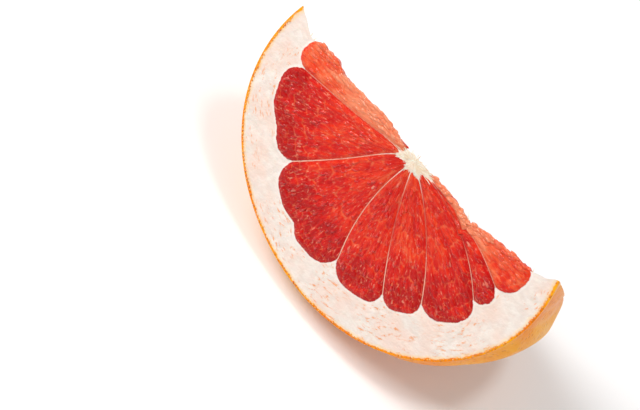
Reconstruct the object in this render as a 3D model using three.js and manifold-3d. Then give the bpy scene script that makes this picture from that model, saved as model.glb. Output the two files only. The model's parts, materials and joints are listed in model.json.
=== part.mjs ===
// A wedge of grapefruit, in millimetres, +Z up, resting on its rind with the sharp cut edge on top.
//
// The fruit is a slightly flattened ball that leans a little, as fruit does that hung by its stem. One
// straight knife cut goes across it near the girth, which shows every segment as a spoke. A second cut meets
// the first at WEDGE_ANGLE along an edge that passes the core, and its middle is a little hollow, because
// the soft flesh gives way between the stiffer ends of the peel.
// A wedge set down on its rind rolls until its weight hangs under the middle of the fruit, so the wedge is
// turned to that attitude here, and it stands on the small flat spot that its own weight presses there.
//
// Row frame: the origin is the middle of the flat spot, +X runs along the sharp edge, and the girth cut
// faces -Y and up.

import * as THREE from "three";
import { mergeVertices } from "three/addons/utils/BufferGeometryUtils.js";
import Module from "manifold-3d";

// The fruit.
const GIRTH_RADIUS = 56; // from the middle of the fruit to the rind, at the girth
const POLE_RADIUS = 54; // from the middle of the fruit to its stem end or blossom end
const LUMP_HEIGHT = 0.5; // how far the rind stands out or dips in its slow waves
const LEAN_ALONG = 0.15; // sideways lean towards +X, for each millimetre below the girth cut
const LEAN_DOWN = 0.1; // lean away from the sharp edge, for each millimetre below the girth cut

// The two cuts.
const GIRTH_CUT_RISE = 4; // from the girth up to the cut across the fruit, which just misses it
const WEDGE_ANGLE = 50; // degrees between the two cut faces
const TIP_RISE = 14.5; // from the middle of the fruit up to a line between the two pointed tips
const EDGE_SAG = 6.8; // how far the edge between the tips dips under that line

// The flat spot that the wedge stands on.
const REST_SPOT_RADIUS = 6;

// How finely the curved faces are divided.
const RIND_STEPS_ROUND = 132;
const RIND_STEPS_UP = 60;
const HOLLOW_STEPS = 480;

// How many times the resting attitude and the level of the flat spot are refined.
const ROLLS = 8;
const LEVEL_STEPS = 40;

const RIND_COLOUR = 0xf2a71f;
const RIND_ROUGHNESS = 0.45;

const wasm = await Module();
wasm.setup();

/** A closed three.js geometry as a manifold-3d solid. */
function toSolid(geometry) {
  const bare = geometry.clone();
  bare.deleteAttribute("normal");
  bare.deleteAttribute("uv");
  const merged = mergeVertices(bare, 1e-4);
  return new wasm.Manifold(
    new wasm.Mesh({
      numProp: 3,
      vertProperties: merged.attributes.position.array,
      triVerts: new Uint32Array(merged.index.array),
    }),
  );
}

/** A manifold-3d solid as a three.js geometry. */
function toGeometry(solid) {
  const mesh = solid.getMesh();
  const geometry = new THREE.BufferGeometry();
  geometry.setAttribute("position", new THREE.BufferAttribute(mesh.vertProperties, 3));
  geometry.setIndex(new THREE.BufferAttribute(mesh.triVerts, 1));
  geometry.computeVertexNormals();
  return geometry;
}

/** How far the rind stands out at a longitude, in shares of LUMP_HEIGHT: slow waves round the girth. */
function lump(longitude) {
  return 0.6 * Math.sin(2 * longitude + 0.7) + 0.4 * Math.sin(5 * longitude + 2.0);
}

/** The whole fruit, with the middle of its girth cut at the origin. */
function makeFruit() {
  const profile = [];
  for (let i = 0; i <= RIND_STEPS_UP; i++) {
    const latitude = (i / RIND_STEPS_UP - 0.5) * Math.PI;
    const onAxis = i === 0 || i === RIND_STEPS_UP;
    profile.push(new THREE.Vector2(
      onAxis ? 0 : GIRTH_RADIUS * Math.cos(latitude),
      POLE_RADIUS * Math.sin(latitude),
    ));
  }
  const fruit = new THREE.LatheGeometry(profile, RIND_STEPS_ROUND);
  fruit.rotateX(Math.PI / 2);
  const place = fruit.attributes.position;
  for (let i = 0; i < place.count; i++) {
    const x = place.getX(i);
    const y = place.getY(i);
    const out = LUMP_HEIGHT * lump(Math.atan2(y, x)) * Math.hypot(x, y) / GIRTH_RADIUS;
    const grown = 1 + out / GIRTH_RADIUS;
    const below = GIRTH_CUT_RISE - place.getZ(i);
    place.setXYZ(i, x * grown + LEAN_ALONG * below, y * grown - LEAN_DOWN * below, -below);
  }
  return toSolid(fruit);
}

/** Everything above the girth cut, which is the plane z = 0. */
function makeGirthCut() {
  const size = 4 * GIRTH_RADIUS;
  const block = new THREE.BoxGeometry(size, size, size);
  block.translate(0, 0, size / 2);
  return toSolid(block);
}

/** Everything past the second cut: a wide drum whose round side hollows the face between the tips. */
function makeSecondCut() {
  const angle = THREE.MathUtils.degToRad(WEDGE_ANGLE);
  const cutRadius = GIRTH_RADIUS * Math.sqrt(1 - (GIRTH_CUT_RISE / POLE_RADIUS) ** 2);
  const tipX = Math.sqrt(cutRadius ** 2 - TIP_RISE ** 2);
  const sag = EDGE_SAG * Math.sin(angle);
  const drumRadius = (tipX ** 2 + sag ** 2) / (2 * sag);
  const lowestLine = (TIP_RISE - EDGE_SAG) * Math.sin(angle);
  const drum = new THREE.CylinderGeometry(drumRadius, drumRadius, 6 * GIRTH_RADIUS, HOLLOW_STEPS);
  drum.translate(0, 0, -(lowestLine + drumRadius));
  drum.rotateX(angle);
  return toSolid(drum);
}

/** The middle of a solid's mass, from the signed tetrahedra under its triangles. */
function centreOfMass(solid) {
  const { vertProperties: v, triVerts: t } = solid.getMesh();
  const corner = (k) => new THREE.Vector3(v[3 * t[k]], v[3 * t[k] + 1], v[3 * t[k] + 2]);
  const moment = new THREE.Vector3();
  let volume = 0;
  for (let k = 0; k < t.length; k += 3) {
    const [a, b, c] = [corner(k), corner(k + 1), corner(k + 2)];
    const part = a.dot(new THREE.Vector3().crossVectors(b, c)) / 6;
    volume += part;
    moment.addScaledVector(a.add(b).add(c), part / 4);
  }
  return moment.divideScalar(volume);
}

/** The level at which a floor would cut a spot of REST_SPOT_RADIUS off the wedge, and the spot's middle. */
function pressedSpot(wedge) {
  const wanted = Math.PI * REST_SPOT_RADIUS ** 2;
  let low = wedge.boundingBox().min[2];
  let high = low + REST_SPOT_RADIUS;
  for (let step = 0; step < LEVEL_STEPS; step++) {
    const level = (low + high) / 2;
    if (wedge.slice(level).area() < wanted) low = level;
    else high = level;
  }
  const { min, max } = wedge.slice(high).bounds();
  return { x: (min[0] + max[0]) / 2, y: (min[1] + max[1]) / 2, level: high };
}

/** The wedge rolled on its rind, a smaller turn each time, until its weight is right over its spot. */
function rollToRest(wedge) {
  let rolled = wedge.rotate([90 - WEDGE_ANGLE / 2, 0, 0]);
  for (let roll = 0; roll < ROLLS; roll++) {
    const spot = pressedSpot(rolled);
    const weight = centreOfMass(rolled);
    const lever = spot.level + GIRTH_RADIUS - weight.z;
    const turnX = THREE.MathUtils.radToDeg((spot.y - weight.y) / lever);
    const turnY = THREE.MathUtils.radToDeg((weight.x - spot.x) / lever);
    rolled = rolled.rotate([turnX, turnY, 0]);
  }
  return rolled;
}

/** The cut wedge at rest, standing on its flat spot with the spot's middle at the origin. */
function makeWedge() {
  const rested = rollToRest(makeFruit().subtract(makeGirthCut()).subtract(makeSecondCut()));
  const spot = pressedSpot(rested);
  return toGeometry(rested.translate([-spot.x, -spot.y, -spot.level]).trimByPlane([0, 0, 1], 0));
}

const grapefruitWedge = new THREE.Mesh(
  makeWedge(),
  new THREE.MeshStandardMaterial({ color: RIND_COLOUR, roughness: RIND_ROUGHNESS, metalness: 0 }),
);
grapefruitWedge.name = "grapefruit_wedge";

const grapefruit = new THREE.Group();
grapefruit.add(grapefruitWedge);
export default grapefruit;
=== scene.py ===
# %% [markdown]
# # A wedge of pink grapefruit
#
# The wedge is one thing that grew as one piece, so its skin is made as one closed mesh: two cut faces that
# meet in a sharp edge, and the rind round the back of them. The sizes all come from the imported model: the
# script first measures the fruit that the wedge was cut from, and then lays everything out in the fruit's
# own axes, where segments, peel and core are easy to describe. What stands a little off the skin, such as
# oil glands, loose juice sacs and fibres of the core, is scattered over it with Geometry Nodes.

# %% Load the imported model
import json
import math

import bmesh
import bpy
import numpy as np
from mathutils import Matrix, Vector, noise
from mathutils.geometry import delaunay_2d_cdt


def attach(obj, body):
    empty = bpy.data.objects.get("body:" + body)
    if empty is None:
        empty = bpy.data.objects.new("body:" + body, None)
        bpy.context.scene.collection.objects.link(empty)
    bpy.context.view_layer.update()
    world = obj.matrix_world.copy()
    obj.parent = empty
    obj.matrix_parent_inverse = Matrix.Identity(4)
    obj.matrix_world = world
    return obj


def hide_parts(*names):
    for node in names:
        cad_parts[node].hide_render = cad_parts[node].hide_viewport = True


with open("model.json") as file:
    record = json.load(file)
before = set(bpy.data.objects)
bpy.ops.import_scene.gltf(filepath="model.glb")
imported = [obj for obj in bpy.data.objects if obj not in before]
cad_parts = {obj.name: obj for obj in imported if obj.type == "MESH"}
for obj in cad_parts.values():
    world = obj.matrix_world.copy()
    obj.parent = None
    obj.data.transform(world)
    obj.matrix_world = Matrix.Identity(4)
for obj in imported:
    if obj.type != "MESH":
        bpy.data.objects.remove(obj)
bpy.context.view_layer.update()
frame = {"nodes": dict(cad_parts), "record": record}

MM = 0.001  # the frame is in metres, and a kitchen fruit is easier to think of in millimetres

# %% [markdown]
# ## The fruit that the wedge was cut from
#
# Four things fix the whole fruit: its middle, its girth, how far its poles are pressed in and how far it
# leans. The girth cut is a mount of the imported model, so its plane is known. Nearly every other corner of
# the model lies on the rind, which is close to a flattened, leaning ball, so one least-squares fit gives all
# four, and a second one gives the slow waves of the rind round the girth.

# %% Measure the fruit
def unit(vector):
    return np.asarray(vector, float) / np.linalg.norm(vector)


node = frame["nodes"]["grapefruit_wedge"]
corners = np.array([v.co for v in node.data.vertices]) / MM
girth = next(m for m in frame["record"]["mounts"] if m["name"] == "girth_cut")
cut_normal, cut_point = unit(girth["axis"]), np.array(girth["pos_m"]) / MM
level = unit(np.cross(cut_normal, [0, 0, 1]))
slope = np.cross(cut_normal, level)
flat = np.column_stack([(corners - cut_point) @ level, (corners - cut_point) @ slope])
depth = (corners - cut_point) @ cut_normal

on_rind = (depth < -0.05) & (corners[:, 2] > 0.05)
a, b, w = flat[on_rind, 0], flat[on_rind, 1], depth[on_rind]
known = np.column_stack([w**2, w, -2 * a * w, -2 * b * w, -2 * a, -2 * b, np.ones(len(w))])
c1, c2, lean_a, lean_b, a0, b0, rest = np.linalg.lstsq(known, -(a**2 + b**2), rcond=None)[0]
press = c1 - lean_a**2 - lean_b**2
SUNK = (c2 - 2 * (a0 * lean_a + b0 * lean_b)) / (2 * press)  # the girth lies this far under the cut
GIRTH = math.sqrt(a0**2 + b0**2 + press * SUNK**2 - rest)
POLE = GIRTH / math.sqrt(press)
CUT_RADIUS = GIRTH * math.sqrt(1 - (SUNK / POLE) ** 2)
middle = cut_point + a0 * level + b0 * slope
print(f"girth radius {GIRTH:.2f} mm, {SUNK:.2f} mm under the cut, pole radius {POLE:.2f} mm")

# %% The fruit's own axes: X along the knife edge, Y up towards it, Z out of the girth cut
off_middle = np.hypot(flat[:, 0] - a0, flat[:, 1] - b0)
on_knife = (np.abs(depth) < 0.01) & (off_middle < CUT_RADIUS - 1.5)
knife_corners = corners[on_knife] - middle
along = np.linalg.svd(knife_corners - knife_corners.mean(0), full_matrices=False)[2][0]
along = unit(along - (along @ cut_normal) * cut_normal) * np.sign(along[0])
AXES = np.array([along, np.cross(cut_normal, along), cut_normal])
LEAN = (AXES @ (lean_a * level + lean_b * slope))[:2]  # sideways, for each millimetre up


def to_row(points):
    """Points in the fruit's axes, in millimetres, as points of the row frame in metres."""
    return (middle + np.asarray(points) @ AXES) * MM


knife_line = np.polyfit(*(knife_corners @ AXES.T)[:, :2].T, 4)
normals = np.array([p.normal for p in node.data.polygons]) @ AXES.T
centres = (np.array([p.center for p in node.data.polygons]) / MM - middle) @ AXES.T
second = (normals[:, 1] > 0.4) & (normals[:, 2] < -0.4) & (np.abs(centres[:, 0]) < 6)
second_normal = unit(normals[second].mean(0))
WEDGE = math.atan2(second_normal[1], -second_normal[2])
print(f"{on_knife.sum()} corners on the knife edge, {math.degrees(WEDGE):.1f} degrees between the cuts")

# %% The slow waves of the rind
WAVES = np.arange(1, 7)


def stand_up(points):
    """Points with the fruit's lean taken out, so that the core is upright."""
    x, y, z = np.moveaxis(np.asarray(points, float), -1, 0)
    return x - LEAN[0] * z, y - LEAN[1] * z, z


def pressed_ball(z):
    """Radius of the flattened ball at a height over the girth cut."""
    return GIRTH * np.sqrt(np.clip(1 - ((z + SUNK) / POLE) ** 2, 0, 1))


def waves_at(longitude):
    turns = np.multiply.outer(longitude, WAVES)
    return np.concatenate([np.cos(turns), np.sin(turns)], axis=-1)


x, y, z = stand_up((corners[on_rind] - middle) @ AXES.T)
ball = pressed_ball(z)
spare = np.hypot(x, y) - ball
share = (ball / GIRTH) ** 2
longitudes = np.arctan2(y, x)
wave_sizes = np.linalg.lstsq(waves_at(longitudes) * share[:, None], spare, rcond=None)[0]


def outside(points):
    """How far points lie outside the rind, sideways, in millimetres; less than nothing is inside."""
    x, y, z = stand_up(points)
    ball = pressed_ball(z)
    swell = (waves_at(np.arctan2(y, x)) @ wave_sizes) * (ball / GIRTH) ** 2
    return np.hypot(x, y) - ball - swell


left = spare - (waves_at(longitudes) @ wave_sizes) * share
print(f"rind fitted to {np.abs(left).max():.3f} mm at worst")

# %% [markdown]
# ## The outlines of the two cut faces
#
# Both faces are ruled: from each point of the knife edge a straight line runs down the face. So a place on
# either face is a pair of numbers, how far along the edge and how far down from it, and only the angle
# between the face and the girth cut differs. A bisection along rays finds where each face meets the rind.

# %% Places on the cut faces
def on_face(angle, x, down):
    """The point of a cut face that lies x along the knife edge and some way down from it."""
    x, down = np.broadcast_arrays(np.asarray(x, float), np.asarray(down, float))
    y = np.polyval(knife_line, x) - down * math.cos(angle)
    return np.stack([x, y, -down * math.sin(angle)], axis=-1)


def bisect(miss, low, high, steps=40):
    """Where a rising function passes nought, between two arrays of starting values."""
    for _ in range(steps):
        mid = (low + high) / 2
        short = miss(mid) < 0
        low, high = np.where(short, mid, low), np.where(short, high, mid)
    return (low + high) / 2


tips = np.array([
    side * bisect(lambda x: outside(on_face(0, side * x, 0)), np.array(30.0), np.array(60.0))
    for side in (-1, 1)
])
FACES = {"girth": 0.0, "second": WEDGE}
print("tips of the wedge along the knife edge:", tips.round(2))

# %% The rims, from tip to tip, in steps of equal length
RIM_STEPS = 400
INSIDE_FACE = (0, 6.5)  # a place well inside each face, along the edge and down from it, in millimetres


def rim_of(angle):
    start = np.array(INSIDE_FACE)
    first, last = (math.atan2(tip, -start[1]) for tip in tips)
    turn = np.linspace(first, last, 6 * RIM_STEPS)
    way = np.column_stack([np.sin(turn), np.cos(turn)])

    def miss(reach):
        x, down = (start + reach[:, None] * way).T
        return outside(on_face(angle, x, down))

    reach = bisect(miss, np.full(len(turn), 5.0), np.full(len(turn), 80.0))
    places = start + reach[:, None] * way
    places[0], places[-1] = (tips[0], 0), (tips[1], 0)
    walked = np.r_[0, np.cumsum(np.linalg.norm(np.diff(places, axis=0), axis=1))]
    even = np.linspace(0, walked[-1], RIM_STEPS + 1)
    return np.column_stack([np.interp(even, walked, places[:, k]) for k in (0, 1)])


rims = {name: rim_of(angle) for name, angle in FACES.items()}
for name, rim in rims.items():
    print(name, "rim", round(np.linalg.norm(np.diff(rim, axis=0), axis=1).sum(), 1), "mm long")

# %% [markdown]
# ## One closed skin
#
# Each face is filled with evenly spaced points and joined into near-equal triangles, which carry fine
# relief better than long ones. The rind is a band of rows from one rim round to the other. All three share
# the corners of their rims and of the knife edge, so the skin is closed without any welding.

# %% Fill the faces
SPACING = {"girth": 0.44, "second": 0.5}
KNIFE_STEPS = 250
knife_x = np.linspace(tips[0], tips[1], KNIFE_STEPS + 1)[1:-1]


def fill(name, angle):
    """Triangles over one face: its rim first, then the knife edge, then the points inside."""
    step = SPACING[name]
    rim = rims[name]
    edge = np.column_stack([knife_x[::-1], np.zeros(len(knife_x))])
    outline = np.vstack([rim, edge])
    rows = np.arange(0.5 * step, outline[:, 1].max(), step * math.sqrt(0.75))
    inner = []
    for k, down in enumerate(rows):
        x = np.arange(outline[:, 0].min(), outline[:, 0].max(), step) + 0.5 * step * (k % 2)
        inner.append(np.column_stack([x, np.full(len(x), down)]))
    inner = np.vstack(inner)
    inside = outside(on_face(angle, inner[:, 0], inner[:, 1])) < -0.6 * step
    places = np.vstack([outline, inner[inside & (inner[:, 1] > 0.4 * step)]])
    ring = list(range(len(outline)))
    made = delaunay_2d_cdt([Vector(p) for p in places], [], [ring], 1, 1e-6)
    back = [old[0] for old in made[3]]
    triangles = np.array([[back[i] for i in face] for face in made[2]])
    return places, triangles


face_places, face_triangles = {}, {}
for name, angle in FACES.items():
    face_places[name], face_triangles[name] = fill(name, angle)
    print(name, "face:", len(face_places[name]), "points,", len(face_triangles[name]), "triangles")

# %% Wrap the rind from rim to rim
RIND_ROWS = 64


def reach_rind(ways):
    """The points of the rind in some directions from the middle of the fruit."""
    reach = bisect(lambda r: outside(ways * r[:, None]), np.full(len(ways), 20.0), np.full(len(ways), 80.0))
    return ways * reach[:, None]


rim_points = {name: on_face(FACES[name], *rims[name].T) for name in FACES}
starts = rim_points["girth"][1:-1]
ends = rim_points["second"][1:-1]
starts = starts / np.linalg.norm(starts, axis=1)[:, None]
ends = ends / np.linalg.norm(ends, axis=1)[:, None]
spread = np.arccos(np.clip((starts * ends).sum(1), -1, 1))
rind_rows = []
for row in range(1, RIND_ROWS):
    t = row / RIND_ROWS
    ways = (np.sin((1 - t) * spread)[:, None] * starts + np.sin(t * spread)[:, None] * ends)
    rind_rows.append(reach_rind(ways / np.linalg.norm(ways, axis=1)[:, None]))
print(len(rind_rows), "rows of", len(starts), "points round the rind")

# %% Put the three together
place_f, kind, down_f = [], [], []  # where each corner is, which surface it is on, how far below the edge


def add(points, label, down):
    first = sum(len(p) for p in place_f)
    place_f.append(points)
    kind.append(np.full(len(points), label))
    down_f.append(np.broadcast_to(down, len(points)).astype(float))
    return np.arange(first, first + len(points))


RIM, KNIFE, GIRTH_FACE, SECOND_FACE, RIND = range(5)
first_rim = add(rim_points["girth"], RIM, rims["girth"][:, 1])
second_rim = add(rim_points["second"][1:-1], RIM, rims["second"][1:-1, 1])
second_rim = np.r_[first_rim[0], second_rim, first_rim[-1]]
knife = add(on_face(0, knife_x[::-1], 0), KNIFE, 0)
triangles, is_cut = [], []
for name, label, rim in (("girth", GIRTH_FACE, first_rim), ("second", SECOND_FACE, second_rim)):
    inner = face_places[name][len(rim) + len(knife):]
    index = np.r_[rim, knife, add(on_face(FACES[name], *inner.T), label, inner[:, 1])]
    triangles.append(index[face_triangles[name]])
    is_cut.append(np.full(len(triangles[-1]), True))
FAR_BELOW = 99.0  # the rind counts as far below the edge, so nothing that happens by the edge reaches it
inner_rows = [np.r_[first_rim[0], add(row, RIND, FAR_BELOW), first_rim[-1]] for row in rind_rows]
band = [first_rim, *inner_rows, second_rim]
for upper, lower in zip(band, band[1:]):
    one = np.column_stack([upper[:-1], upper[1:], lower[1:]])
    two = np.column_stack([upper[:-1], lower[1:], lower[:-1]])
    both = np.vstack([one, two])
    both = both[(both[:, 0] != both[:, 1]) & (both[:, 1] != both[:, 2]) & (both[:, 0] != both[:, 2])]
    triangles.append(both)
    is_cut.append(np.full(len(both), False))
place_f, kind, down_f = np.vstack(place_f), np.concatenate(kind), np.concatenate(down_f)
triangles, is_cut = np.vstack(triangles), np.concatenate(is_cut)
print(len(place_f), "corners and", len(triangles), "triangles in the skin")

# %% [markdown]
# ## What is inside a grapefruit
#
# Seen from its core, the fruit is a wheel of segments. Each is a pocket of juice sacs between two thin
# membranes, round at its outer end, inside a thick white peel, which runs up between the segments in sharp
# cusps. The membranes are not quite straight: some lean over or curl near the core, and where a knife has
# smeared juice over them they hardly show. The same few rules give, at any point inside the fruit, how deep
# it lies in a segment, how far it is from a membrane and how far from the rind, so both cuts agree.

# %% The core and the membranes, from one end of the knife edge round to the other
CORE = np.array([0.5, 6.0])  # the core is a little off the middle of the fruit
CORE_RADIUS = 2.3
CORE_STRETCH = 1.55  # the core is wider along the knife edge than across
MEMBRANES = [  # degrees round the core at the peel, degrees of lean by the core, degrees of curl at the core,
    # how much each shows by the core, half way along and by the peel, and the round of the corners beside it
    (-171.5, 2.5, 0, 0.55, 0.2, 0.4, 5.5), (-132.0, 0, -44, 1.0, 0.65, 0.9, 7.2),
    (-90.0, -16, 0, 0.9, 0.65, 0.95, 8.2), (-67.0, -8, 0, 0.8, 0.2, 0.9, 5.6),
    (-49.5, 15, 0, 0.7, 0.2, 0.95, 6.2), (-25.0, 27, 0, 0.4, 0.12, 0.75, 5.0),
    (-13.0, 18, 0, 0.35, 0.2, 0.5, 5.5),
]
PEEL = [  # degrees round the middle of the fruit, thickness of rind and pith there in millimetres
    (-200, 9.5), (-180, 9.5), (-170, 8.9), (-160, 9.4), (-151, 12.2), (-146, 12.5), (-135, 12.4),
    (-125, 11.2), (-119, 10.8), (-112.5, 12.3), (-107, 10.0), (-100, 11.0), (-80, 12.9), (-70, 13.1),
    (-52, 13.9), (-40, 12.4), (-28, 10.8), (-20, 11.5), (-13, 12.5), (-4, 10.8), (2, 9.1), (6, 8.3),
    (10, 8.0), (14, 8.4), (20, 8.4),
]
POLE_PEEL = 1.35  # the peel is thicker towards the poles, by this much of itself
TAIL_RADIUS = 3.4  # round of a segment's narrow end, by the core
print(len(MEMBRANES), "membranes, peel", min(t for _, t in PEEL), "to", max(t for _, t in PEEL), "mm thick")

# %% How deep a place lies in the fruit
def smooth_step(low, high, value):
    """0 at low, 1 at high, and a soft step between; low may be the greater."""
    t = np.clip((np.asarray(value, float) - low) / (high - low), 0, 1)
    return t * t * (3 - 2 * t)


def rounded(one, two, radius):
    """The lesser of two depths below two walls, with the corner between the walls rounded."""
    short = np.hypot(np.maximum(radius - one, 0), np.maximum(radius - two, 0))
    return np.where((one < radius) & (two < radius), radius - short, np.minimum(one, two))


def degrees_from_below(y, x):
    """Degrees round from the X axis, from -270 to 90, so that the step lies above the knife edge."""
    turn = np.degrees(np.arctan2(y, x))
    return np.where(turn > 90, turn - 360, turn)


def look_inside(points):
    """Segment number and distances, in millimetres, at points inside the fruit."""
    x, y, z = stand_up(points)
    from_core = np.hypot(x - CORE[0], y - CORE[1])
    turn = degrees_from_below(y - CORE[1], x - CORE[0])
    lean = 1 - np.clip(from_core / 43, 0, 1)
    curl = np.exp(-from_core / 8)
    walls = np.array([at + tilt * lean + bend * curl for at, tilt, bend, *_ in MEMBRANES])
    segment = (turn > walls).sum(0)
    gaps = np.radians(np.abs(turn - walls))
    wall = from_core * np.sin(np.minimum(gaps.min(0), math.pi / 2))
    shown = np.array([np.interp(from_core, (5, 14, 26, 34), (core, half, half, peel))
                      for *_, core, half, peel, _ in MEMBRANES])
    veil = np.take_along_axis(shown, gaps.argmin(0)[None], 0)[0]
    corner = np.take([row[-1] for row in MEMBRANES], gaps.argmin(0))
    squashed = np.sqrt(x**2 + y**2 + ((z + SUNK) * GIRTH / POLE) ** 2)
    rind = np.minimum(np.maximum(-outside(points), 0), GIRTH - squashed + 1.0)
    peel = np.interp(degrees_from_below(y, x), *zip(*PEEL)) * (1 + (POLE_PEEL - 1) * (z / POLE) ** 2)
    deep = rind - peel
    heart = np.hypot((x - CORE[0]) / CORE_STRETCH, y - CORE[1])
    heart = heart - CORE_RADIUS * (1 + 0.22 * np.sin(np.radians(turn) * 7 + 1))
    flesh = rounded(deep, wall + 0.06, corner)
    flesh = np.where(heart < 12, np.minimum(flesh, rounded(heart, wall + 0.06, TAIL_RADIUS)), flesh)
    return {"segment": segment, "wall": wall, "rind": rind, "deep": deep, "flesh": flesh, "veil": veil,
            "heart": heart, "from_core": from_core, "turn": np.radians(turn)}


fields = look_inside(place_f)
for part in ("wall", "rind", "flesh"):
    print(part, "from", fields[part].min().round(2), "to", fields[part].max().round(2), "mm")

# %% [markdown]
# ## Juice sacs
#
# A segment is packed with juice sacs, long drops that hang from the peel side and point to the core. In a
# cut they read as cells, round by the peel and drawn out towards the core. Points are laid in rings, closer
# together round the ring than along the spoke, and each corner of the skin finds its nearest two. The
# nearest gives the sac that it belongs to, and the difference between the two fades to nothing at the wall
# between sacs.

# %% Lay out the sacs
SAC_WIDTH = 1.75  # round the fruit, in millimetres
RING_DEPTHS = [0.8, 2.9, 5.4, 8.6, 12.6, 17.4, 22.8, 28.6, 34.6, 40.6]  # millimetres below the peel
WIDER = 1.1  # sacs past the third ring are this much wider
dice = np.random.default_rng(7)
noise.seed_set(7)  # smooth noise takes its start from the clock unless it is given one

laid = []
for ring, ring_depth in enumerate(RING_DEPTHS):
    reach = max(46 - ring_depth, 4)
    count = int(round(2 * math.pi * reach / (SAC_WIDTH * (1 if ring < 3 else WIDER))))
    turns = (np.arange(count) + dice.uniform(-0.35, 0.35, count)) * 2 * math.pi / count
    gap = 1.0 if ring == 0 else ring_depth - RING_DEPTHS[ring - 1]
    depths = ring_depth + dice.uniform(-0.38, 0.38, count) * gap
    laid.append(np.column_stack([depths, turns]))
sac_depths, sac_turns = np.vstack(laid).T
sac_tones = dice.uniform(0, 1, len(sac_depths))
print(len(sac_depths), "sacs in", len(RING_DEPTHS), "rings")

# %% Find each corner's own sac
def wobble(points, size, seed):
    """A smooth random push in three directions, by position."""
    shift = Vector((seed * 3.1, seed * 7.7, seed * 1.3))
    return np.array([noise.noise_vector(Vector(p) / size + shift) for p in points])


def sac_cells(fields, points, batch=4000):
    """Which sac each point is in, the sac's own tone, and how far the point is from the sac's wall."""
    push = wobble(points, 5.0, 2)
    deep = np.maximum(fields["deep"], 0) + 1.1 * push[:, 0]
    turn = fields["turn"] + 0.9 * push[:, 1] / np.maximum(fields["from_core"], 6) + 0.011 * points[:, 2]
    best, near, far = (np.zeros(len(points), int), np.zeros(len(points)), np.zeros(len(points)))
    for first in range(0, len(points), batch):
        part = slice(first, first + batch)
        across = np.abs((turn[part, None] - sac_turns + math.pi) % (2 * math.pi) - math.pi)
        across = across * np.maximum(fields["from_core"][part, None], 3) / SAC_WIDTH
        length = np.interp(deep[part], RING_DEPTHS, np.r_[2.0, np.maximum(np.diff(RING_DEPTHS), 2.0)])
        ahead = (deep[part, None] - sac_depths) / length[:, None]
        far_off = np.hypot(across, ahead)
        two = np.partition(far_off, 1, axis=1)[:, :2]
        best[part] = far_off.argmin(1)
        near[part], far[part] = two.T
    return best, sac_tones[best], (far - near) * SAC_WIDTH


on_cut = kind != RIND
sac, tone, sac_wall = (np.zeros(len(place_f)) for _ in range(3))
sac[on_cut], tone[on_cut], sac_wall[on_cut] = sac_cells(
    {k: v[on_cut] for k, v in fields.items()}, place_f[on_cut])
print(len(np.unique(sac[on_cut & (fields["flesh"] > 0)])), "sacs are cut open")

# %% [markdown]
# ## Relief of the cuts
#
# A knife leaves juicy flesh nearly level, and then it moves: the segments swell a little out of their
# pockets, each sac a little by itself, and the membranes lie in shallow valleys between them. The spongy pith
# stays where it was cut, with a slight roughness. A bump in the finish could pass for this on the open face,
# but not along the edges, where the relief is the outline, so the corners themselves are moved.

# %% Raise the flesh and roughen the pith
FLESH_LIFT = 0.26  # millimetres that a segment stands out of its pocket
SAC_DOME = 0.24  # millimetres that the middle of a sac stands over its wall
SAC_SOFTNESS = 0.35  # millimetres from the wall over which a sac rises

face_normal = np.zeros_like(place_f)
face_normal[kind == GIRTH_FACE] = (0, 0, 1)
face_normal[kind == SECOND_FACE] = (0, math.sin(WEDGE), -math.cos(WEDGE))
face_normal[kind == KNIFE] = (0, math.cos(WEDGE / 2), math.sin(WEDGE / 2))
fine = wobble(place_f, 1.6, 3)[:, 0]
coarse = wobble(place_f, 6.0, 4)[:, 0]
in_flesh = smooth_step(-0.1, 1.5, fields["flesh"])
sac_dome = SAC_DOME * (1 - np.exp(-sac_wall / SAC_SOFTNESS)) + 0.26 * (tone - 0.5)
flesh_relief = in_flesh * (FLESH_LIFT + sac_dome + 0.08 * fine)
pith_relief = 0.08 * fine + 0.15 * coarse + 0.2 * (1 - smooth_step(0, 2.5, np.abs(fields["heart"])))
relief = np.where(fields["flesh"] > -0.1, flesh_relief, pith_relief - 0.02)
relief *= smooth_step(0.1, 1.2, fields["rind"])
shaped = place_f + face_normal * relief[:, None]
print("relief from", relief.min().round(2), "to", relief.max().round(2), "mm")

# %% [markdown]
# ## The torn edge
#
# Along the sharp edge there is least flesh to hold together, so it tears, and the line between the tips is
# ragged. Leaving corners out would make holes, so a tear is made by moving corners down, most at the edge and
# less below it. The first face gives way over a short distance. The second gives way over a long one, and
# the end of its peel has sunk, or it would stand up like a wall behind each tear.

# %% Tear the sharp edge
TEARS = [  # place along the knife edge, how far the edge has gone there in millimetres
    (-54, 0), (-52.2, 1.0), (-50.5, 1.5), (-48.5, 2.7), (-46.5, 3.6), (-45, 3.5), (-43.8, 2.7), (-42, 2.0),
    (-38.5, 0.8), (-35.5, 0.9), (-32, 1.9), (-28, 1.5), (-24, 0.7), (-17, -0.3), (-12, -0.6), (-6, 0.4),
    (-3.5, 1.0), (0, 0.3), (6, 0.8), (12, 0.7), (18, 1.3), (22.8, 4.0), (23.8, 4.6), (24.6, 3.2), (31, 2.3),
    (35, 2.2), (40, 2.6), (44, 3.2), (46.3, 3.0), (47.5, 2.6), (51, 1.9), (53, 0.5), (54, 0),
]
TEAR_REACH = 9.0  # how far down the girth cut a small tear still pulls the face in
STEEPEST = 3.2  # a deep tear reaches further, this many times its own depth
SECOND_REACH = 80.0  # the second face gives way over a greater length
END_DROP = 2.8  # how far the second face's end of the peel has sunk at the first tip


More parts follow.
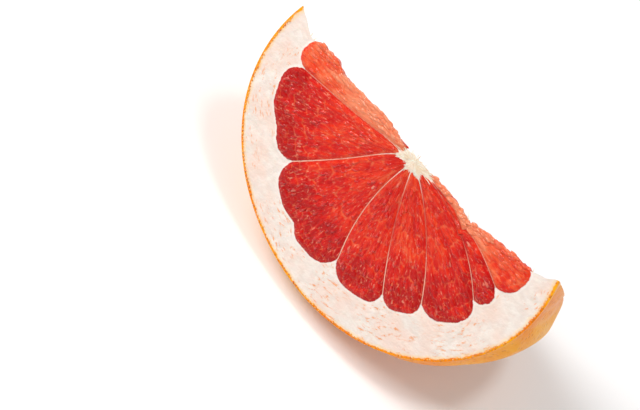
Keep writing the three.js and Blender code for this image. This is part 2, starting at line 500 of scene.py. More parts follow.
def sunk(points, tear):
    """How far points sink, away from the sharp edge, where it is torn by a given depth."""
    x, y, z = np.moveaxis(points, -1, 0)
    under = np.polyval(knife_line, x) - y
    away = np.hypot(under, z)
    first = np.clip(1 - away / np.maximum(TEAR_REACH, STEEPEST * tear), 0, 1) ** 2
    second = np.clip(1 - away / SECOND_REACH, 0, 1)
    turned = smooth_step(5, 30, np.degrees(np.arctan2(-z, under)))
    end = smooth_step(-42, -52, x) * smooth_step(0.5, 4, -z) * smooth_step(46, 24, away)
    return tear * (first + (second - first) * turned) + END_DROP * end


def torn_at(x):
    """The depth of the tear at places along the knife edge."""
    return np.interp(x, *zip(*TEARS))


tear = torn_at(place_f[:, 0]) + (0.2 * fine + 0.3 * coarse) * (kind != RIND)
tear += (0.45 * fine - 1.2 * (tone - 0.5)) * smooth_step(0, 0.6, fields["flesh"])
shaped[:, 1] -= sunk(place_f, tear)
print("deepest tear", tear.max().round(2), "mm")

# %% [markdown]
# ## The uneven rind
#
# A fruit is no even ball. Beside one tip of this wedge the rind swells out, and at the tip itself the thin
# end of the peel curls in. The corners near the rind are moved out or in by a table that goes round the
# fruit, and the move fades out towards the girth cut, far below it and towards the flesh.

# %% Swell the rind
SWELLING = [  # degrees round the fruit, how far the rind swells out there below the girth cut, millimetres
    (-90, 0), (-75, 0.6), (-63, 1.3), (-57, 1.8), (-49, 2.0), (-41, 1.8), (-34, 1.6), (-28, 2.1), (-20, 2.5),
    (-16, 2.4), (-13, 0.8), (-10, -1.2), (-5, -2.8), (3, -2.9), (7.5, -2.2), (11, -1.6), (20, -1.2), (40, 0),
]
RIND_WAVER = 0.06  # millimetres of slow unevenness all over the rind


def swell(points):
    """Points near the rind, moved out where the fruit swells and in where the thin end of the peel curls."""
    x, y, z = np.moveaxis(points, -1, 0)
    share = smooth_step(0, 5, -z) * smooth_step(42, 22, -z) * smooth_step(14, 2, -outside(points))
    out = np.interp(np.degrees(np.arctan2(y, x)), *zip(*SWELLING)) * share / np.hypot(x, y)
    return points + np.stack([out * x, out * y, np.zeros(len(points))], axis=-1)


shaped += np.where(kind == RIND, RIND_WAVER * coarse, 0)[:, None] * place_f / GIRTH
swollen = swell(shaped)
print("the rind moves by up to", np.linalg.norm(swollen - shaped, axis=1).max().round(2), "mm")
shaped = swollen

# %% Make the skin's mesh
def new_object(name, data):
    """An object for a mesh, a camera or a light, placed in the scene."""
    made = bpy.data.objects.new(name, data)
    bpy.context.scene.collection.objects.link(made)
    return made


def face_outwards(mesh):
    """Turn the faces of a closed mesh outwards, and count the edges that turn out to be open."""
    work = bmesh.new()
    work.from_mesh(mesh)
    bmesh.ops.recalc_face_normals(work, faces=work.faces)
    open_edges = sum(not edge.is_manifold for edge in work.edges)
    work.to_mesh(mesh)
    work.free()
    return open_edges


row_places = to_row(shaped)
row_places[:, 2] = np.maximum(row_places[:, 2], 0)  # the flat spot that the weight presses
skin_mesh = bpy.data.meshes.new("wedge_skin")
skin_mesh.from_pydata(row_places.tolist(), [], triangles.tolist())
skin = new_object("wedge_skin", skin_mesh)
skin_mesh.polygons.foreach_set("material_index", (~is_cut).astype(np.int32))
print("edges of the skin that are open:", face_outwards(skin_mesh))
skin_mesh.shade_smooth()
skin_mesh.set_sharp_from_angle(angle=math.radians(50))

# %% Write the fields on the skin, for its finishes to read
def write(mesh, name, values, form="FLOAT"):
    """Keep a value for each corner on the mesh, under a name that the finishes can read."""
    layer = mesh.attributes.new(name, form, "POINT")
    flat_values = np.ascontiguousarray(values, np.float32).ravel()
    layer.data.foreach_set("value" if form == "FLOAT" else "vector", flat_values)


alternate = np.where(fields["segment"] % 2 == 0, 1.0, -1.0)
thin = np.exp(-down_f * math.sin(WEDGE) / 3.0)
pale = {0: 0.57, 7: 0.48}  # the two segments that the edge cuts lengthwise are thin, and light comes through
# painted light: the thin flesh by the sharp edge and the two thin segments are made paler, standing in for
# light that shines through them; the change with depth and the noise are the flesh's own colour
ripe_and_painted_glow = 0.02 + 0.33 * smooth_step(4, 20, fields["deep"]) + 0.16 * thin
ripe_and_painted_glow += np.select([fields["segment"] == k for k in pale], list(pale.values()), 0.0)
ripe_and_painted_glow += 0.12 * coarse + 0.05 * fine
for name, values in (
        ("flesh", fields["flesh"]), ("seam", fields["wall"] * alternate), ("veil", fields["veil"]),
        ("heart", fields["heart"]), ("rim", fields["rind"]), ("sac_wall", sac_wall), ("sac_tone", tone),
        ("ripe_and_painted_glow", np.clip(ripe_and_painted_glow, 0, 1))):
    write(skin_mesh, name, values)
spoke = np.column_stack([fields["deep"], fields["turn"] * 30, fields["segment"] * 17.0])
write(skin_mesh, "spoke", spoke, "FLOAT_VECTOR")
print("attributes:", [a.name for a in skin_mesh.attributes if not a.name.startswith(".")])

# %% [markdown]
# ## Finishes
#
# The finishes are node trees that read the fields on the skin. Small helpers keep them short: one adds a
# node with its settings, and a few more do a sum, a soft step between two values and a mix of two colours.

# %% Helpers for node trees
def paint(red, green, blue):
    """A colour as painters' 0 to 255 values, in the linear light that the shader wants."""
    part = np.array([red, green, blue]) / 255
    return (*np.where(part <= 0.04045, part / 12.92, ((part + 0.055) / 1.055) ** 2.4), 1.0)


def put(tree, form, inputs=None, **settings):
    """A new node with its settings, and its inputs linked or set."""
    made = tree.nodes.new(form)
    for name, value in settings.items():
        setattr(made, name, value)
    for name, value in (inputs or {}).items():
        if isinstance(value, bpy.types.NodeSocket):
            tree.links.new(value, made.inputs[name])
        else:
            made.inputs[name].default_value = value
    return made


def figure(tree, operation, *values):
    """The result of one sum."""
    return put(tree, "ShaderNodeMath", dict(enumerate(values)), operation=operation).outputs[0]


def step_between(tree, value, low, high, start=0.0, end=1.0):
    """Start below low, end above high, and a soft step between."""
    inputs = {"Value": value, "From Min": low, "From Max": high, "To Min": start, "To Max": end}
    return put(tree, "ShaderNodeMapRange", inputs, interpolation_type="SMOOTHSTEP").outputs["Result"]


def mix(tree, share, one, two):
    """A colour some share of the way from one to two."""
    return put(tree, "ShaderNodeMix", {0: share, 6: one, 7: two}, data_type="RGBA").outputs[2]


print("mid grey in linear light:", round(paint(128, 128, 128)[0], 3))

# %% More helpers: fields, textures, groups and materials
def read(tree, name, output="Fac"):
    """A field that was written on the mesh."""
    return put(tree, "ShaderNodeAttribute", attribute_name=name).outputs[output]


def grain(tree, place, scale, detail=2.0, stretch=None, roughness=0.5):
    """Noise, drawn out where a stretch is given."""
    if stretch:
        place = put(tree, "ShaderNodeVectorMath", {0: place, 1: stretch}, operation="MULTIPLY").outputs[0]
    inputs = {"Vector": place, "Scale": scale, "Detail": detail, "Roughness": roughness}
    return put(tree, "ShaderNodeTexNoise", inputs).outputs["Fac"]


def cells(tree, place, scale, output="Distance"):
    """Cells round scattered points."""
    return put(tree, "ShaderNodeTexVoronoi", {"Vector": place, "Scale": scale}).outputs[output]


def new_group(name, ins, outs):
    """An empty shader group with named inputs and outputs."""
    group = bpy.data.node_groups.new(name, "ShaderNodeTree")
    for label, form, value in ins:
        socket = group.interface.new_socket(label, in_out="INPUT", socket_type=form)
        if value is not None:
            socket.default_value = value
    for label, form in outs:
        group.interface.new_socket(label, in_out="OUTPUT", socket_type=form)
    return group, group.nodes.new("NodeGroupInput"), group.nodes.new("NodeGroupOutput")


def new_material(name, **settings):
    """A material with one Principled BSDF, and its constant values set on the shader's own sockets."""
    material = bpy.data.materials.new(name)
    material.use_nodes = True
    shader = material.node_tree.nodes["Principled BSDF"]
    for label, value in settings.items():
        shader.inputs[label.replace("_", " ").title().replace("Ior", "IOR")].default_value = value
    return material, material.node_tree, shader


def object_place(tree):
    return put(tree, "ShaderNodeTexCoord").outputs["Object"]


# %% [markdown]
# ### Peel colour
#
# The rind and the thin coloured layer that shows at its cut edge are the same skin, so both take their
# colour from one node group: warm yellow with broad orange blushes, and small darker specks where the oil
# glands are. The group also gives the height of the pores, which sit a millimetre or so apart.

# %% The peel group
PORE_SPACING = 1.25  # millimetres

peel_group, peel_in, peel_out = new_group(
    "peel_colour",
    [("Place", "NodeSocketVector", None), ("Blush", "NodeSocketFloat", 0.5)],
    [("Colour", "NodeSocketColor"), ("Height", "NodeSocketFloat")],
)
where = peel_in.outputs["Place"]
blush = step_between(peel_group, grain(peel_group, where, 45, 3), 0.35, 0.68)
blush = figure(peel_group, "MULTIPLY", blush, peel_in.outputs["Blush"])
ground = mix(peel_group, blush, paint(252, 172, 18), paint(245, 132, 10))
pore = cells(peel_group, where, 1 / (PORE_SPACING * MM))
pore_pick = cells(peel_group, where, 1 / (PORE_SPACING * MM), output="Color")
pick = put(peel_group, "ShaderNodeSeparateColor", {"Color": pore_pick}).outputs["Red"]
speck = figure(peel_group, "MULTIPLY", step_between(peel_group, pore, 0.16, 0.42, 1, 0),
               step_between(peel_group, pick, 0.25, 0.75))
fleck = step_between(peel_group, grain(peel_group, where, 520, 2), 0.58, 0.7)
ground = mix(peel_group, figure(peel_group, "MULTIPLY", speck, 0.55), ground, paint(214, 112, 18))
ground = mix(peel_group, figure(peel_group, "MULTIPLY", fleck, 0.22), ground, paint(255, 205, 80))
pore_height = step_between(peel_group, pore, 0.0, 0.55)
peel_group.links.new(ground, peel_out.inputs["Colour"])
peel_group.links.new(pore_height, peel_out.inputs["Height"])
print("peel group:", len(peel_group.nodes), "nodes")

# %% The rind's own material
def peel_node(tree, place, blush):
    return put(tree, "ShaderNodeGroup", {"Place": place, "Blush": blush}, node_tree=peel_group)


rind, tree, shader = new_material(
    "rind", roughness=0.42, subsurface_weight=0.12, subsurface_scale=0.002, coat_weight=0.08,
    coat_roughness=0.22, specular_ior_level=0.35)
shader.inputs["Subsurface Radius"].default_value = (1.0, 0.45, 0.1)
place = object_place(tree)
peel = peel_node(tree, place, 0.8)
tree.links.new(peel.outputs["Colour"], shader.inputs["Base Color"])
gloss = step_between(tree, grain(tree, place, 160, 2), 0.3, 0.7, 0.36, 0.5)
tree.links.new(gloss, shader.inputs["Roughness"])
lift = figure(tree, "ADD", peel.outputs["Height"],
              figure(tree, "MULTIPLY", grain(tree, place, 1500, 2), 0.25))
bump = put(tree, "ShaderNodeBump", {"Strength": 0.55, "Distance": 0.22 * MM, "Height": lift})
tree.links.new(bump.outputs["Normal"], shader.inputs["Normal"])
print("rind material:", len(tree.nodes), "nodes")

# %% [markdown]
# ### Pulp colour
#
# Pink grapefruit flesh runs from a deep red at the outer end of a segment to an orange where it is thin; the
# paler orange by the thin edge is painted light, standing in for light shining through the flesh.
# Streaks run along the sacs, their walls are paler than their juice, and no two sacs have quite the same
# tone. Small pale glints over the colour are a painted highlight of light on the wet sacs. Loose sacs use
# the same group as the cut faces, so they match.

# %% The pulp group
pulp_group, pulp_in, pulp_out = new_group(
    "pulp_colour",
    [("Spoke", "NodeSocketVector", None), ("Ripe_and_painted_glow", "NodeSocketFloat", 0.3), ("Tone", "NodeSocketFloat", 0.5),
     ("Wall", "NodeSocketFloat", 1.0)],
    [("Colour", "NodeSocketColor"), ("Height", "NodeSocketFloat")],
)
spokes = pulp_in.outputs["Spoke"]
streak = grain(pulp_group, spokes, 0.55, 3, (0.4, 2.4, 1.0))
thread = grain(pulp_group, spokes, 1.0, 3, (0.42, 4.4, 1.0), 0.6)
cloud = grain(pulp_group, spokes, 0.2, 3)
# glint: noise for a painted highlight, pale spots that stand in for light glinting on the wet sacs
glint = grain(pulp_group, spokes, 1.2, 2, (0.6, 1.6, 1.0))


def swing(value, size):
    """How far a noise is over or under its middle, times a size."""
    return figure(pulp_group, "MULTIPLY", figure(pulp_group, "SUBTRACT", value, 0.5), size)


paleness = pulp_in.outputs["Ripe_and_painted_glow"]
for value, size in ((streak, 0.75), (cloud, 0.75), (pulp_in.outputs["Tone"], 0.16)):
    paleness = figure(pulp_group, "ADD", paleness, swing(value, size))
ramp = put(pulp_group, "ShaderNodeValToRGB", {"Fac": paleness})
stops = ramp.color_ramp.elements
stops[0].position, stops[0].color = 0.0, paint(180, 2, 2)
stops[1].position, stops[1].color = 1.0, paint(245, 138, 98)
for at, colour in ((0.22, paint(208, 14, 6)), (0.48, paint(228, 46, 14)), (0.74, paint(239, 92, 50))):
    stop = stops.new(at)
    stop.color = colour
wall_line = step_between(pulp_group, pulp_in.outputs["Wall"], 0.0, 0.32, 0.5, 0.0)
wall_line = figure(pulp_group, "MULTIPLY", wall_line, step_between(pulp_group, cloud, 0.32, 0.56))
thread_line = step_between(pulp_group, thread, 0.56, 0.72, 0.0, 0.5)
thread_line = figure(pulp_group, "MULTIPLY", thread_line, step_between(pulp_group, streak, 0.3, 0.62))
pulp = mix(pulp_group, figure(pulp_group, "MAXIMUM", wall_line, thread_line), ramp.outputs["Color"],
           paint(244, 128, 82))
# painted highlight: pale pink glints mixed into the flesh colour
pulp = mix(pulp_group, step_between(pulp_group, glint, 0.58, 0.8, 0.0, 0.6), pulp, paint(251, 176, 142))
pulp_height = figure(pulp_group, "ADD", figure(pulp_group, "MULTIPLY", streak, 0.9),
                     figure(pulp_group, "MULTIPLY", thread, 0.5))
pulp_group.links.new(pulp, pulp_out.inputs["Colour"])
pulp_group.links.new(pulp_height, pulp_out.inputs["Height"])
print("pulp group:", len(pulp_group.nodes), "nodes")

# %% [markdown]
# ### The cut faces
#
# One material covers both cuts, because on the fruit there is no gap between flesh, membrane, pith and rind
# either. It lays them over each other by distance: pith everywhere, flesh where the point is inside a
# segment, a membrane line between two segments, and the coloured layer of the peel along the rim.

# %% The cut-face material: how much of each part there is
cut_face, tree, shader = new_material(
    "cut_face", subsurface_weight=0.1, subsurface_scale=0.002, coat_roughness=0.12, specular_ior_level=0.15)
shader.inputs["Subsurface Radius"].default_value = (1.0, 0.32, 0.2)
place = object_place(tree)
spokes = read(tree, "spoke", "Vector")
flesh, seam, rim, heart = (read(tree, name) for name in ("flesh", "seam", "rim", "heart"))
fray = figure(tree, "MULTIPLY", figure(tree, "SUBTRACT", grain(tree, place, 900, 2), 0.5), 0.7)
flesh_share = step_between(tree, figure(tree, "ADD", flesh, fray), -0.12, 0.12)
half_width = step_between(tree, grain(tree, spokes, 0.3, 2), 0.3, 0.7, 0.0, 0.09)
membrane = figure(tree, "SUBTRACT", figure(tree, "ABSOLUTE", seam), half_width)
membrane = step_between(tree, membrane, 0.02, 0.17, 1.0, 0.0)
membrane = figure(tree, "MULTIPLY", membrane, read(tree, "veil"))
pulp = put(tree, "ShaderNodeGroup", {
    "Spoke": spokes, "Ripe_and_painted_glow": read(tree, "ripe_and_painted_glow"), "Tone": read(tree, "sac_tone"),
    "Wall": read(tree, "sac_wall")}, node_tree=pulp_group)
print("shares of flesh and membrane:", len(tree.nodes), "nodes")

# %% Pith, with its blotches, veins and pale lip, and the creamy core
sponge = step_between(tree, grain(tree, place, 420, 3), 0.3, 0.7)
pith = mix(tree, sponge, paint(232, 217, 206), paint(241, 230, 220))
blotch = step_between(tree, grain(tree, place, 110, 2), 0.42, 0.66, 0.0, 0.6)
pith = mix(tree, blotch, pith, paint(240, 209, 193))
vein = grain(tree, spokes, 1.15, 4, (1.0, 0.6, 1.0), 0.65)
vein = step_between(tree, vein, 0.54, 0.66, 0.0, 0.85)
vein_place = step_between(tree, grain(tree, place, 85, 2), 0.42, 0.58)
pith = mix(tree, figure(tree, "MULTIPLY", vein, vein_place), pith, paint(236, 148, 78))
lip = step_between(tree, figure(tree, "ABSOLUTE", figure(tree, "ADD", flesh, 0.35)), 0.05, 0.55, 0.55, 0.0)
pith = mix(tree, lip, pith, paint(250, 239, 230))
fibre = step_between(tree, grain(tree, spokes, 1.3, 3, (0.5, 2.5, 1.0)), 0.4, 0.64)
cream = mix(tree, fibre, paint(246, 232, 212), paint(234, 198, 158))
pith = mix(tree, step_between(tree, heart, 0.0, 3.0, 0.75, 0.0), pith, cream)
print("and pith:", len(tree.nodes), "nodes")

# %% Flesh, membranes and the coloured layer of the peel, laid over the pith
membrane_colour = mix(tree, step_between(tree, heart, 3.0, 9.0), paint(255, 236, 222), paint(255, 206, 180))
membrane_colour = mix(tree, step_between(tree, flesh, -0.1, 0.1, 0.7, 0.0), membrane_colour,
                      paint(255, 242, 234))
colour = mix(tree, flesh_share, pith, pulp.outputs["Colour"])
colour = mix(tree, figure(tree, "MULTIPLY", membrane, flesh_share), colour, membrane_colour)
peel = peel_node(tree, place, 1.0)
oil = step_between(tree, cells(tree, place, 1 / (1.1 * MM)), 0.2, 0.45, 0.85, 0.0)
ragged = figure(tree, "MULTIPLY", figure(tree, "SUBTRACT", grain(tree, place, 480, 2), 0.5), 1.5)
skin_edge = figure(tree, "ADD", rim, ragged)
blend_in = step_between(tree, skin_edge, 0.9, 1.9, 0.5, 0.0)
colour = mix(tree, blend_in, colour, paint(248, 206, 130))
flavedo = step_between(tree, skin_edge, 0.55, 0.95, 1.0, 0.0)
flavedo_colour = mix(tree, oil, peel.outputs["Colour"], paint(212, 118, 34))
colour = mix(tree, flavedo, colour, flavedo_colour)
tree.links.new(colour, shader.inputs["Base Color"])
print("and the colours laid over it:", len(tree.nodes), "nodes")

# %% Wet flesh is glossy and streaked, dry pith is rough and spongy
wet = figure(tree, "MULTIPLY", flesh_share, figure(tree, "SUBTRACT", 1.0, flavedo))
gloss = step_between(tree, grain(tree, place, 700, 2), 0.35, 0.65, 0.2, 0.42)
rough = put(tree, "ShaderNodeMix", {0: wet, 2: 0.78, 3: gloss}).outputs[0]
tree.links.new(rough, shader.inputs["Roughness"])
tree.links.new(figure(tree, "MULTIPLY", wet, 0.12), shader.inputs["Coat Weight"])
wet_height = figure(tree, "MULTIPLY", pulp.outputs["Height"], wet)
dry_height = figure(tree, "MULTIPLY", grain(tree, place, 1300, 3), figure(tree, "SUBTRACT", 1.0, wet))
wet_height = figure(tree, "MULTIPLY", wet_height, figure(tree, "SUBTRACT", 1.0, membrane))
height = figure(tree, "ADD", wet_height, figure(tree, "MULTIPLY", dry_height, 0.5))
bump = put(tree, "ShaderNodeBump", {"Strength": 0.8, "Distance": 0.4 * MM, "Height": height})
tree.links.new(bump.outputs["Normal"], shader.inputs["Normal"])
skin_mesh.materials.append(cut_face)
skin_mesh.materials.append(rind)
print("cut-face material:", len(tree.nodes), "nodes")

# %% The skin takes the place of the plain wedge
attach(skin, "root")
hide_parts("grapefruit_wedge")
print("wedge_skin rides on root in place of grapefruit_wedge")

# %% [markdown]
# ## What stands off the skin
#
# Four small things are proud of the cut: the oil glands that the knife opens all along the rim, juice sacs
# that came loose, the stringy fibres of the core, and shreds of torn membrane on the sharp edge. The first
# three repeat by the hundred, so two Geometry Nodes trees lay them out, one along a path and one over a
# surface. The surface tree reads how likely a spot is and which way the flesh is drawn there.

# %% Helpers for trees that grow things
def new_geometry_tree(name, ins):
    """An empty Geometry Nodes tree with named inputs."""
    tree = bpy.data.node_groups.new(name, "GeometryNodeTree")
    tree.interface.new_socket("Geometry", in_out="INPUT", socket_type="NodeSocketGeometry")
    tree.interface.new_socket("Geometry", in_out="OUTPUT", socket_type="NodeSocketGeometry")
    for label, form in ins:
        tree.interface.new_socket(label, in_out="INPUT", socket_type=form)
    return tree, tree.nodes.new("NodeGroupInput").outputs, tree.nodes.new("NodeGroupOutput").inputs


def finish_tree(tree, laid, finish, out):
    """End a tree: what is laid out becomes a real, smooth mesh with its material."""
    real = put(tree, "GeometryNodeRealizeInstances", {"Geometry": laid.outputs[0]})
    smooth = put(tree, "GeometryNodeSetShadeSmooth", {"Geometry": real.outputs[0]})
    done = put(tree, "GeometryNodeSetMaterial", {"Geometry": smooth.outputs[0], "Material": finish})
    tree.links.new(done.outputs[0], out)
    print("tree", tree.name, "has", len(tree.nodes), "nodes")


def named(tree, name, form):
    return put(tree, "GeometryNodeInputNamedAttribute", {"Name": name}, data_type=form).outputs["Attribute"]


def vector(tree, x, y, z):
    return put(tree, "ShaderNodeCombineXYZ", {"X": x, "Y": y, "Z": z}).outputs[0]


def grow(name, host_mesh, tree, **settings):
    """Run a tree on a mesh once and keep what it made as a plain mesh."""
    host = new_object("host", host_mesh)
    modifier = host.modifiers.new("grow", "NODES")
    modifier.node_group = tree
    for item in tree.interface.items_tree:
        if item.in_out == "INPUT" and item.name.lower() in settings:
            modifier[item.identifier] = settings[item.name.lower()]
    graph = bpy.context.evaluated_depsgraph_get()
    mesh = bpy.data.meshes.new_from_object(
        host.evaluated_get(graph), preserve_all_data_layers=True, depsgraph=graph)
    bpy.data.objects.remove(host)
    print(name, "has", len(mesh.polygons), "faces")
    return new_object(name, mesh)


# %% A tree that sets beads along a path
beads, ins, outs = new_geometry_tree("beads_along_a_path", [
    ("Spacing", "NodeSocketFloat"), ("Least", "NodeSocketFloat"), ("Most", "NodeSocketFloat"),
    ("Stray", "NodeSocketFloat"), ("Seed", "NodeSocketInt"), ("Finish", "NodeSocketMaterial")])
path = put(beads, "GeometryNodeMeshToCurve", {"Mesh": ins["Geometry"]}).outputs["Curve"]
points = put(beads, "GeometryNodeCurveToPoints", {"Curve": path, "Length": ins["Spacing"]}, mode="LENGTH")
low = figure(beads, "MULTIPLY", ins["Stray"], -1.0)
stray = put(beads, "FunctionNodeRandomValue", {
    0: vector(beads, low, low, low), 1: vector(beads, ins["Stray"], ins["Stray"], ins["Stray"]),
    "Seed": ins["Seed"]}, data_type="FLOAT_VECTOR").outputs[0]
points = put(beads, "GeometryNodeSetPosition", {"Geometry": points.outputs["Points"], "Offset": stray})
bead = put(beads, "GeometryNodeMeshUVSphere", {"Segments": 8, "Rings": 5, "Radius": 1.0}).outputs["Mesh"]
size = put(beads, "FunctionNodeRandomValue", {2: ins["Least"], 3: ins["Most"], "Seed": ins["Seed"]},
           data_type="FLOAT").outputs[1]
laid = put(beads, "GeometryNodeInstanceOnPoints", {
    "Points": points.outputs[0], "Instance": bead, "Scale": vector(beads, size, size, size)})
finish_tree(beads, laid, ins["Finish"], outs["Geometry"])

# %% A tree that strews drops over a surface
drops, ins, outs = new_geometry_tree("drops_over_a_surface", [
    ("Density", "NodeSocketFloat"), ("Apart", "NodeSocketFloat"), ("Width", "NodeSocketFloat"),
    ("Length", "NodeSocketFloat"), ("Lift", "NodeSocketFloat"), ("Taper", "NodeSocketFloat"),
    ("Seed", "NodeSocketInt"), ("Finish", "NodeSocketMaterial")])
points = put(drops, "GeometryNodeDistributePointsOnFaces", {
    "Mesh": ins["Geometry"], "Distance Min": ins["Apart"], "Density Max": ins["Density"],
    "Density Factor": named(drops, "likely", "FLOAT"), "Seed": ins["Seed"]},
    distribute_method="POISSON")
lift = put(drops, "ShaderNodeVectorMath", {0: points.outputs["Normal"], "Scale": ins["Lift"]},
           operation="SCALE").outputs[0]
raised = put(drops, "GeometryNodeSetPosition", {"Geometry": points.outputs["Points"], "Offset": lift})
ball_mesh = put(drops, "GeometryNodeMeshUVSphere", {"Segments": 8, "Rings": 6, "Radius": 1.0}).outputs["Mesh"]
split = put(drops, "ShaderNodeSeparateXYZ", {0: put(drops, "GeometryNodeInputPosition").outputs[0]}).outputs
thin_end = figure(drops, "SUBTRACT", 1.0, figure(drops, "MULTIPLY", split["Z"], ins["Taper"]))
tapered = vector(drops, figure(drops, "MULTIPLY", split["X"], thin_end),
                 figure(drops, "MULTIPLY", split["Y"], thin_end), split["Z"])
drop = put(drops, "GeometryNodeSetPosition", {"Geometry": ball_mesh, "Position": tapered}).outputs[0]
turned = put(drops, "FunctionNodeAxesToRotation", {
    "Primary Axis": named(drops, "drawn", "FLOAT_VECTOR"), "Secondary Axis": points.outputs["Normal"]},
    primary_axis="Z", secondary_axis="X").outputs[0]
size = put(drops, "FunctionNodeRandomValue", {2: 0.6, 3: 1.25, "Seed": ins["Seed"]},
           data_type="FLOAT").outputs[1]
across = figure(drops, "MULTIPLY", size, ins["Width"])
laid = put(drops, "GeometryNodeInstanceOnPoints", {
    "Points": raised.outputs[0], "Instance": drop, "Rotation": turned,
    "Scale": vector(drops, figure(drops, "MULTIPLY", across, 0.8), across,
                    figure(drops, "MULTIPLY", size, ins["Length"]))})
finish_tree(drops, laid, ins["Finish"], outs["Geometry"])

# %% [markdown]
# ### Oil glands
#
# The coloured layer of the peel is full of tiny oil glands, and a cut opens a row of them just inside the
# rim. They are a millimetre or so apart and half sunk in the layer, and they look darker than the rind.

# %% Set the glands along both rims
GLAND_INSET = 0.62  # millimetres from the rim in to the row of glands
FACE_CENTRE = (0, 8)  # where the inset points to, along the edge and down from it
OFF_TIP = {"girth": 12, "second": 28}  # steps of each rim that stay bare at the thin tips

oil_gland, tree, shader = new_material("oil_gland", roughness=0.3, coat_weight=0.4, coat_roughness=0.1)
tone_of = step_between(tree, grain(tree, object_place(tree), 350, 1), 0.4, 0.6)
tree.links.new(mix(tree, tone_of, paint(222, 120, 30), paint(240, 160, 60)), shader.inputs["Base Color"])

rows, links = [], []
for name, angle in FACES.items():
    inward = np.array(FACE_CENTRE) - rims[name]
    inward /= np.linalg.norm(inward, axis=1)[:, None]
    row = (rims[name] + GLAND_INSET * inward)[OFF_TIP[name]:-OFF_TIP[name]]
    outward = np.array([0, 0, 1]) if name == "girth" else np.array([0, math.sin(WEDGE), -math.cos(WEDGE)])
    points = on_face(angle, *row.T) + 0.02 * outward
    first = sum(len(r) for r in rows)
    rows.append(points)
    links += [(k, k + 1) for k in range(first, first + len(points) - 1)]
path_mesh = bpy.data.meshes.new("gland_path")
path = swell(np.vstack(rows))
path[:, 1] -= sunk(path, torn_at(path[:, 0]))
path_mesh.from_pydata(to_row(path).tolist(), links, [])
glands = grow("rim_glands", path_mesh, beads, spacing=1.15 * MM, least=0.16 * MM, most=0.42 * MM,
              stray=0.16 * MM, seed=5, finish=oil_gland)

# %% [markdown]
# ### Loose juice sacs and core fibres
#
# A juice sac that the knife has freed lies on the cut as a small glossy drop, thin end to the core. Most of
# them are on the sharp edge, where the flesh is torn. The core is pith too, but stringy: its fibres run out
# from the middle and stand up a little.

# %% Their finishes
loose_sac, tree, shader = new_material(
    "loose_sac", roughness=0.2, subsurface_weight=0.2, subsurface_scale=0.002, coat_weight=0.5,
    coat_roughness=0.06, specular_ior_level=0.3)
shader.inputs["Subsurface Radius"].default_value = (1.0, 0.32, 0.2)
juice = put(tree, "ShaderNodeGroup", {
    "Spoke": read(tree, "spoke", "Vector"), "Ripe_and_painted_glow": read(tree, "ripe_and_painted_glow"),
    "Tone": read(tree, "sac_tone")}, node_tree=pulp_group)
tree.links.new(juice.outputs["Colour"], shader.inputs["Base Color"])

core_fibre, tree, shader = new_material(
    "core_fibre", roughness=0.7, subsurface_weight=0.25, subsurface_scale=0.002)
tone_of = step_between(tree, grain(tree, object_place(tree), 600, 1), 0.4, 0.6)
tree.links.new(mix(tree, tone_of, paint(250, 240, 222), paint(240, 210, 176)), shader.inputs["Base Color"])
print("materials:", [material.name for material in bpy.data.materials])

# %% Strew the sacs and the fibres
to_core = np.column_stack([CORE - place_f[:, :2], np.zeros(len(place_f))])
to_core -= face_normal * (to_core * face_normal).sum(1)[:, None]
to_core += 0.25 * np.linalg.norm(to_core, axis=1)[:, None] * wobble(place_f, 3.0, 6)
drawn = to_core @ AXES
by_edge = np.exp(-down_f / 2.2) * ((kind == GIRTH_FACE) | (kind == KNIFE))
on_edge = (kind == SECOND_FACE) & (down_f < 3)
in_pulp = smooth_step(0.7, 1.3, fields["flesh"]) * smooth_step(0.8, 2, fields["deep"]) * on_cut


def host_with(likely):
    mesh = skin_mesh.copy()
    write(mesh, "likely", likely)
    write(mesh, "drawn", drawn, "FLOAT_VECTOR")
    return mesh


sacs = grow("loose_sacs", host_with(in_pulp * np.clip(0.12 + by_edge - on_edge, 0, 1)), drops, density=1.6e6,
            apart=0.55 * MM, width=0.42 * MM, length=1.1 * MM, lift=-0.1 * MM, taper=0.4, seed=3,
            finish=loose_sac)
near_heart = np.exp(-(fields["heart"] / 1.8) ** 2) * on_cut * (fields["flesh"] < 0.6)
fibres = grow("core_fibres", host_with(near_heart), drops, density=3.5e6, apart=0.35 * MM, width=0.1 * MM,
              length=1.1 * MM, lift=0.02 * MM, taper=0.0, seed=4, finish=core_fibre)

# %% [markdown]
# ### Torn membrane
#
# Where the knife left the flesh, thin strips of membrane stay behind on the sharp edge. Each is a flat
# tapered ribbon with closed ends, bent a little.

# %% Make the shreds
SHREDS = [  # place along the knife edge, length, width, lean along the edge, all in millimetres
    (23.9, 3.0, 0.5, -2.1), (-45.2, 1.3, 0.4, 0.5), (-46.6, 1.0, 0.35, -0.3), (-1.8, 1.1, 0.3, -0.4),
    (0.6, 1.5, 0.35, 0.3), (3.4, 1.1, 0.3, 0.6), (46.9, 1.0, 0.35, -0.4),
]
AROUND = 6


def ribbon(at, length, width, lean, seed):
    """Corners and faces of one shred, rooted just under the torn edge."""
    root = on_face(0, np.array(at), 0) - (0, torn_at(at) + 0.8, 0.5)
    path = [root + np.array([lean * s * s, length * s + 0.8 * s, 0.3 * math.sin(3 * s + seed)])
            for s in np.linspace(0, 1, 7)]
    corners_out, faces_out = [], []
    for k, centre in enumerate(path):
        half = 0.5 * width * (1 - 0.85 * (k / 6) ** 1.5)
        for turn in np.arange(AROUND) * 2 * math.pi / AROUND:
            corners_out.append(centre + (half * math.cos(turn), 0, 0.28 * half * math.sin(turn)))
    for k in range(6):
        for j in range(AROUND):
            nxt = (j + 1) % AROUND
            faces_out.append((k * AROUND + j, k * AROUND + nxt, (k + 1) * AROUND + nxt, (k + 1) * AROUND + j))
    faces_out += [tuple(range(AROUND))[::-1], tuple(range(6 * AROUND, 7 * AROUND))]
    return corners_out, faces_out


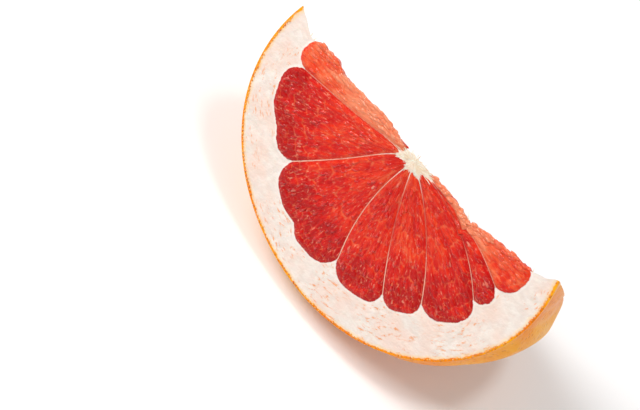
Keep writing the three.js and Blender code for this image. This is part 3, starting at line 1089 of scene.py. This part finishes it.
shred_corners, shred_faces = [], []
for seed, (at, length, width, lean) in enumerate(SHREDS):
    new_corners, new_faces = ribbon(at, length, width, lean, seed)
    shred_faces += [tuple(i + len(shred_corners) for i in face) for face in new_faces]
    shred_corners += new_corners
shred_mesh = bpy.data.meshes.new("membrane_shreds")
shred_mesh.from_pydata(to_row(np.array(shred_corners)).tolist(), [], shred_faces)
print(len(SHREDS), "shreds,", len(shred_faces), "faces,", face_outwards(shred_mesh), "open edges")
shred_mesh.shade_smooth()
shred_mesh.materials.append(core_fibre)
shreds = new_object("membrane_shreds", shred_mesh)

# %% They all ride with the wedge
for piece, slot in ((glands, "rind"), (sacs, "flesh"), (fibres, "pith"), (shreds, "pith")):
    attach(piece, "root")
    print(piece.name, "rides on root as", slot)

# %% [markdown]
# ## Setting for the picture
#
# The wedge is looked at from above, square enough on the girth cut to show every segment and from far
# enough away that nothing bulges towards the lens. The light is a studio's: a broad soft key over the
# camera's shoulder, a smaller one that puts glints in the wet flesh, a weak broad one low on the other side
# that lifts the shadows of the rind, and a pale room all round.

# %% Floor, room and camera
floor_mesh = bpy.data.meshes.new("floor")
FLOOR_HALF, FLOOR_LEVEL = 3, -0.0002  # metres; a hair under the flat spot, so that the two don't fight
floor_corners = [(x * FLOOR_HALF, y * FLOOR_HALF, FLOOR_LEVEL)
                 for x, y in ((-1, -1), (1, -1), (1, 1), (-1, 1))]
floor_mesh.from_pydata(floor_corners, [], [(0, 1, 2, 3)])
floor = new_object("floor", floor_mesh)
floor_paint, _, floor_shader = new_material("floor_paint", roughness=0.9)
floor_shader.inputs["Base Color"].default_value = (0.9, 0.9, 0.9, 1)
floor_mesh.materials.append(floor_paint)

world = bpy.data.worlds.new("room")
world.use_nodes = True
room = world.node_tree.nodes["Background"]
room.inputs["Color"].default_value = (1, 1, 1, 1)
room.inputs["Strength"].default_value = 0.4
bpy.context.scene.world = world

TOWARDS_CAMERA = unit([0.2315, 0.581, 0.779]) @ AXES
PICTURE_UP = np.array([-0.717, 0.642, -0.266]) @ AXES
PICTURE_UP = unit(PICTURE_UP - (PICTURE_UP @ TOWARDS_CAMERA) * TOWARDS_CAMERA)
PICTURE_RIGHT = np.cross(PICTURE_UP, TOWARDS_CAMERA)
VIEW_WIDTH = 180.8  # millimetres across the picture at the wedge
aim = middle - 23.45 * PICTURE_RIGHT - 8.9 * PICTURE_UP
camera_data = bpy.data.cameras.new("camera")
camera_data.lens, camera_data.sensor_width = 180, 36
camera_data.clip_start, camera_data.clip_end = 0.05, 20
camera = new_object("camera", camera_data)
stand_off = VIEW_WIDTH * camera_data.lens / camera_data.sensor_width
stand = (aim + stand_off * TOWARDS_CAMERA) * MM
turned = np.column_stack([PICTURE_RIGHT, PICTURE_UP, TOWARDS_CAMERA])
camera.matrix_world = Matrix.Translation(Vector(stand)) @ Matrix(turned.tolist()).to_4x4()
bpy.context.scene.camera = camera
bpy.context.scene.view_settings.view_transform = "Standard"
print("camera", round(stand_off), "mm from the wedge, looking", TOWARDS_CAMERA.round(3))

# %% Lights
def softbox(name, towards, far, size, watts):
    """A square lamp that faces the wedge from some way off, in metres."""
    data = bpy.data.lights.new(name, "AREA")
    data.shape, data.size, data.energy = "SQUARE", size, watts
    lamp = new_object(name, data)
    way = Vector(unit(towards))
    lamp.location = way * far
    lamp.rotation_mode = "QUATERNION"
    lamp.rotation_quaternion = way.to_track_quat("Z", "Y")
    print(name, "light:", watts, "W,", size, "m wide")


softbox("key", TOWARDS_CAMERA * 0.6 + PICTURE_UP * 0.6 - PICTURE_RIGHT * 0.3, 1.3, 0.7, 13)
softbox("glint", TOWARDS_CAMERA * 0.8 + PICTURE_UP * 0.35 + PICTURE_RIGHT * 0.35, 1.4, 0.18, 4)
softbox("fill", TOWARDS_CAMERA * 0.8 - PICTURE_UP * 0.35 + PICTURE_RIGHT * 0.6, 1.4, 0.8, 3)
